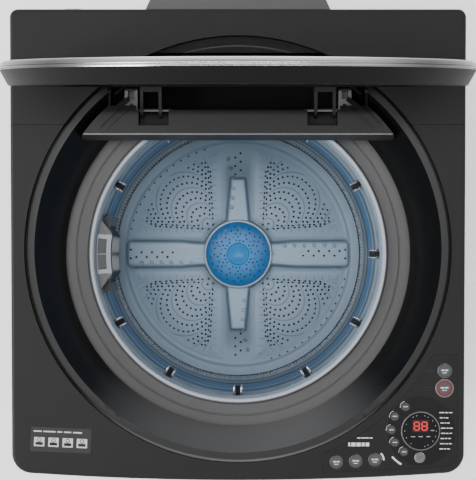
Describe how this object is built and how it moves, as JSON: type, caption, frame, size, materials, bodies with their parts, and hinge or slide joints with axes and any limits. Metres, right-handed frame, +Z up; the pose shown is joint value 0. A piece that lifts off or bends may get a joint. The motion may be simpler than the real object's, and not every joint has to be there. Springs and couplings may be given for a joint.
{
  "type": "top load washing machine",
  "caption": "Free-standing top load washing machine with a round lift-up glass lid, steel basket, pulsator and a corner control panel with round buttons.",
  "frame": {"origin": "centre of the footprint on the floor, under the middle of the bounding box", "axes": "+X to the right seen from the front, +Y to the back, +Z up"},
  "size_m": [0.5648, 0.6, 1.3458],
  "materials": {
    "shell_paint": "satin dark grey paint",
    "back_paint": "grey coated sheet",
    "zinc": "zinc plated",
    "shelf_plastic": "fine-grained dark grey",
    "deck_plastic": "satin dark grey, fine metallic",
    "funnel_gloss": "polished near-black",
    "bracket_plastic": "light grey acetal",
    "steel": "machined",
    "rubber_black": "matt",
    "fascia_plastic": "satin dark grey",
    "board": "solder mask",
    "display_black": "polished black",
    "bright_trim": "bright plated",
    "spring_steel": "oiled",
    "service_plastic": "light grey nylon",
    "band_plastic": "satin dark grey",
    "tinted_glass": "grey tinted",
    "tub_plastic": "mid grey polypropylene",
    "cover_plastic": "mid grey polypropylene",
    "cast_alloy": "as cast",
    "motor_paint": "black paint",
    "belt_rubber": "ribbed",
    "basket_steel": "embossed stainless",
    "base_plastic": "grey",
    "ring_plastic": "light blue-grey",
    "pulsator_plastic": "satin blue-grey",
    "cap_blue": "translucent blue",
    "filter_plastic": "light blue-grey",
    "button_plastic": "satin grey",
    "button_silver": "metallised",
    "key_rubber": "soft touch"
  },
  "bodies": {
    "cabinet": {"cabinet_shell": "shell_paint", "rear_panel": "back_paint", "panel_screws": "zinc", "base_frame": "shelf_plastic", "corner_brackets": "zinc", "top_deck_front": "deck_plastic", "top_deck_rear": "deck_plastic", "funnel": "funnel_gloss", "hinge_shelf": "shelf_plastic", "shelf_cap": "shelf_plastic", "hinge_brackets": "bracket_plastic", "hinge_pins": "steel", "lid_bumpers": "rubber_black", "control_fascia": "fascia_plastic", "control_board": "board", "display_window": "display_black", "trim_rings": "bright_trim", "suspension_rods": "steel", "suspension_springs": "spring_steel", "inlet_valve": "service_plastic", "drain_pump": "service_plastic", "cable_gland": "rubber_black"},
    "lid": {"lid_frame": "band_plastic", "lid_bezel": "bright_trim", "lid_glass": "tinted_glass", "lid_arms": "zinc"},
    "tub": {"outer_tub": "tub_plastic", "tub_cover": "cover_plastic", "bearing_housing": "cast_alloy", "bearings": "steel", "motor": "motor_paint", "drive_belt": "belt_rubber"},
    "basket": {"basket": "basket_steel", "basket_base": "base_plastic", "balance_ring": "ring_plastic", "spin_shaft": "steel", "clutch_drum": "zinc"},
    "pulsator": {"pulsator": "pulsator_plastic", "pulsator_cap": "cap_blue", "pulsator_screw": "steel", "wash_shaft": "steel", "drive_pulley": "cast_alloy"},
    "rotor": {"motor_rotor": "steel"},
    "filter": {"lint_filter": "filter_plastic"},
    "button_power_body": {"button_power": "button_plastic"},
    "button_start_body": {"button_start": "button_plastic"},
    "button_select_body": {"button_select": "button_silver"},
    "button_option_1_body": {"button_option_1": "button_plastic"},
    "button_option_2_body": {"button_option_2": "button_plastic"},
    "button_option_3_body": {"button_option_3": "button_plastic"},
    "key_1_body": {"key_1": "key_rubber"},
    "key_2_body": {"key_2": "key_rubber"},
    "key_3_body": {"key_3": "key_rubber"},
    "key_4_body": {"key_4": "key_rubber"},
    "key_5_body": {"key_5": "key_rubber"},
    "foot_front_left_body": {"foot_front_left": "rubber_black"},
    "foot_front_right_body": {"foot_front_right": "rubber_black"},
    "foot_back_left_body": {"foot_back_left": "rubber_black"},
    "foot_back_right_body": {"foot_back_right": "rubber_black"}
  },
  "joints": [
    {"name": "lid_hinge", "type": "hinge", "parent": "cabinet", "child": "lid", "pos_m": [0, 0.16, 0.897], "axis": [1, 0, 0], "range_deg": [0, 85]},
    {"name": "tub_bounce", "type": "slide", "parent": "cabinet", "child": "tub", "axis": [0, 0, 1], "range_m": [-0.02, 0.006], "stiffness_N_per_m": 14000, "springref_m": 0.0249, "deforming": ["suspension_springs"]},
    {"name": "basket_spin", "type": "hinge", "parent": "tub", "child": "basket", "pos_m": [0, -0.02, 0.425], "axis": [0, 0, 1], "continuous": true},
    {"name": "pulsator_spin", "type": "hinge", "parent": "tub", "child": "pulsator", "pos_m": [0, -0.02, 0.446], "axis": [0, 0, 1], "continuous": true},
    {"name": "motor_spin", "type": "hinge", "parent": "tub", "child": "rotor", "pos_m": [0.17, -0.02, 0.14], "axis": [0, 0, 1], "continuous": true},
    {"name": "filter_release", "type": "slide", "parent": "basket", "child": "filter", "axis": [1, 0, 0], "range_m": [0, 0.03]},
    {"name": "button_power_press", "type": "slide", "parent": "cabinet", "child": "button_power_body", "axis": [0, 0, -1], "range_m": [0, 0.0012], "stiffness_N_per_m": 400},
    {"name": "button_start_press", "type": "slide", "parent": "cabinet", "child": "button_start_body", "axis": [0, 0, -1], "range_m": [0, 0.0012], "stiffness_N_per_m": 400},
    {"name": "button_select_press", "type": "slide", "parent": "cabinet", "child": "button_select_body", "axis": [0, 0, -1], "range_m": [0, 0.0012], "stiffness_N_per_m": 400},
    {"name": "button_option_1_press", "type": "slide", "parent": "cabinet", "child": "button_option_1_body", "axis": [0, 0, -1], "range_m": [0, 0.0012], "stiffness_N_per_m": 400},
    {"name": "button_option_2_press", "type": "slide", "parent": "cabinet", "child": "button_option_2_body", "axis": [0, 0, -1], "range_m": [0, 0.0012], "stiffness_N_per_m": 400},
    {"name": "button_option_3_press", "type": "slide", "parent": "cabinet", "child": "button_option_3_body", "axis": [0, 0, -1], "range_m": [0, 0.0012], "stiffness_N_per_m": 400},
    {"name": "key_1_press", "type": "slide", "parent": "cabinet", "child": "key_1_body", "axis": [0, 0, -1], "range_m": [0, 0.0012], "stiffness_N_per_m": 400},
    {"name": "key_2_press", "type": "slide", "parent": "cabinet", "child": "key_2_body", "axis": [0, 0, -1], "range_m": [0, 0.0012], "stiffness_N_per_m": 400},
    {"name": "key_3_press", "type": "slide", "parent": "cabinet", "child": "key_3_body", "axis": [0, 0, -1], "range_m": [0, 0.0012], "stiffness_N_per_m": 400},
    {"name": "key_4_press", "type": "slide", "parent": "cabinet", "child": "key_4_body", "axis": [0, 0, -1], "range_m": [0, 0.0012], "stiffness_N_per_m": 400},
    {"name": "key_5_press", "type": "slide", "parent": "cabinet", "child": "key_5_body", "axis": [0, 0, -1], "range_m": [0, 0.0012], "stiffness_N_per_m": 400},
    {"name": "foot_front_left_screw", "type": "slide", "parent": "cabinet", "child": "foot_front_left_body", "axis": [0, 0, -1], "range_m": [0, 0.015]},
    {"name": "foot_front_right_screw", "type": "slide", "parent": "cabinet", "child": "foot_front_right_body", "axis": [0, 0, -1], "range_m": [0, 0.015]},
    {"name": "foot_back_left_screw", "type": "slide", "parent": "cabinet", "child": "foot_back_left_body", "axis": [0, 0, -1], "range_m": [0, 0.015]},
    {"name": "foot_back_right_screw", "type": "slide", "parent": "cabinet", "child": "foot_back_right_body", "axis": [0, 0, -1], "range_m": [0, 0.015]}
  ],
  "couplings": [
    {"joint": "motor_spin", "follows": "pulsator_spin", "ratio": 3.0357}
  ]
}
